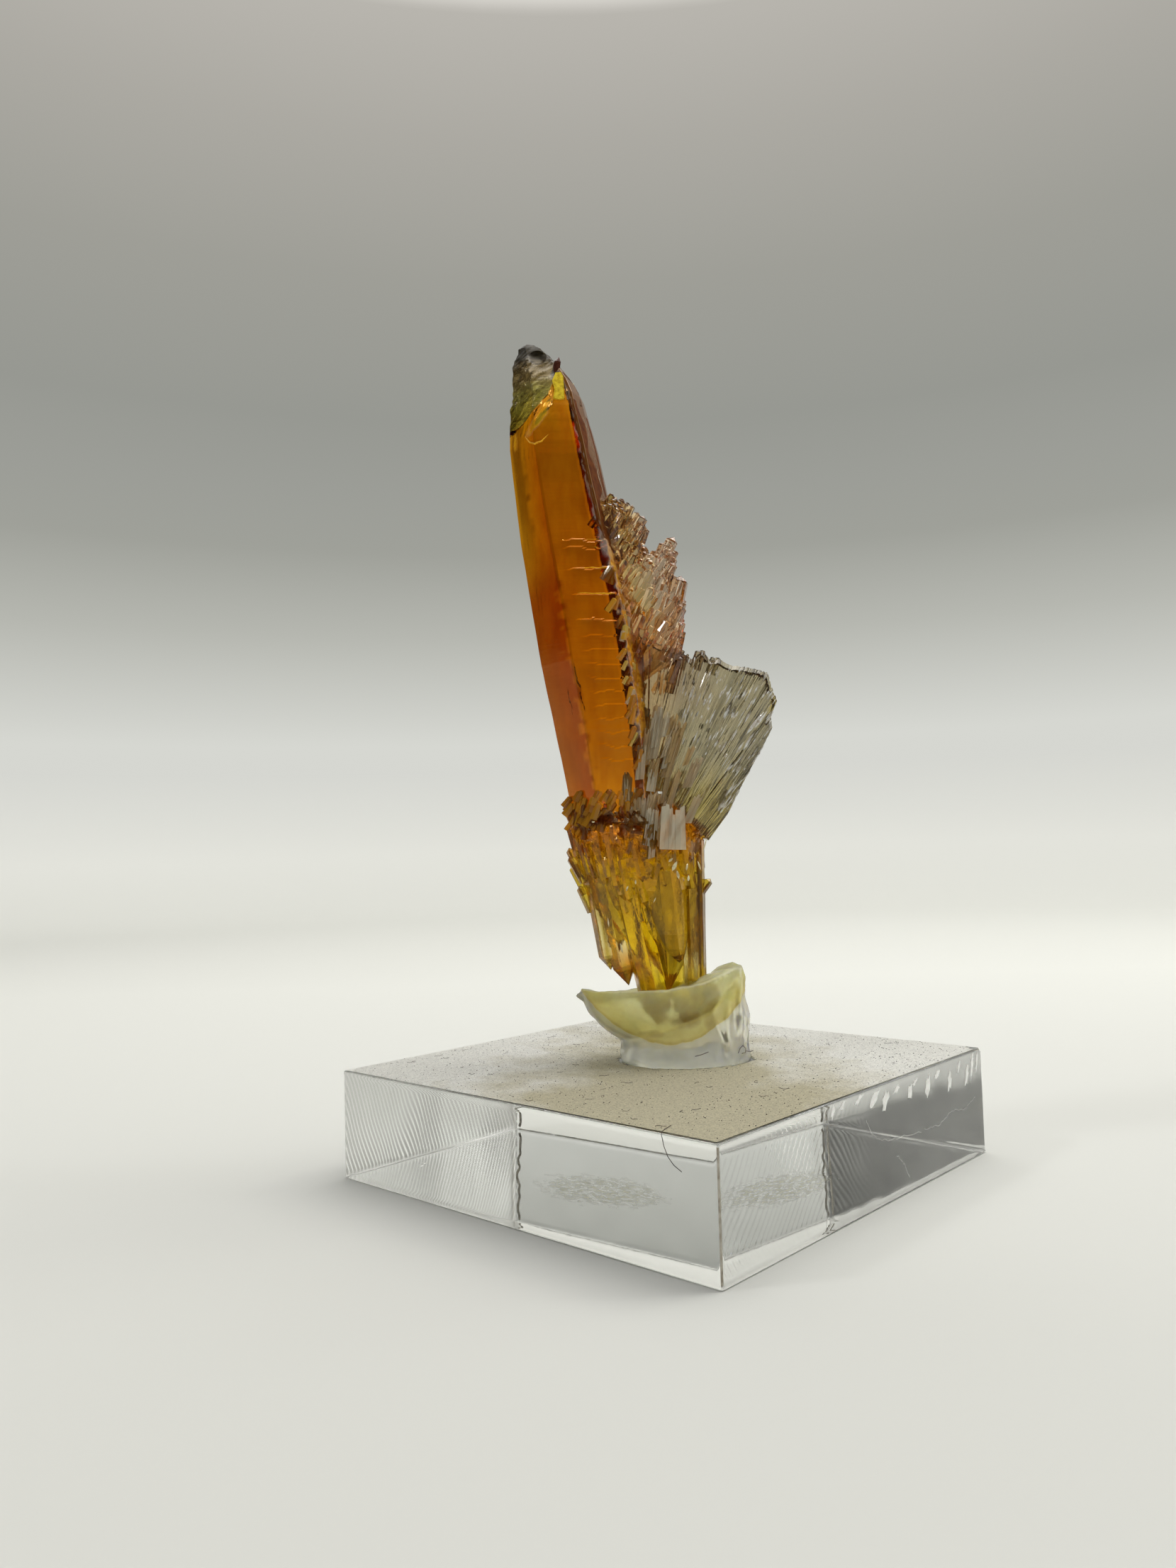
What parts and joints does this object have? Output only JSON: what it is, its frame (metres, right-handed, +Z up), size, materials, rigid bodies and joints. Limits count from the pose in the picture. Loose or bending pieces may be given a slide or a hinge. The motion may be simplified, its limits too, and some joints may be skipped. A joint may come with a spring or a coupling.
{
  "type": "zincite crystal on display base",
  "caption": "Long orange zincite crystal with a clear needle crust and a fibrous wing, set in putty on a clear square acrylic display base.",
  "frame": {"origin": "centre of the display base's underside", "axes": "+Z up, along the specimen's height. X and Y run along the sides of the square base."},
  "size_m": [0.0382, 0.0382, 0.0705],
  "materials": {
    "clear_acrylic": "polished top and sawn sides, lightly dusted",
    "translucent_putty": "waxy, pressed by hand",
    "orange_zincite": "glassy natural crystal faces"
  },
  "bodies": {
    "root": {"acrylic_base": "clear_acrylic", "mounting_putty": "translucent_putty", "zincite_crystal": "orange_zincite"}
  },
  "joints": []
}
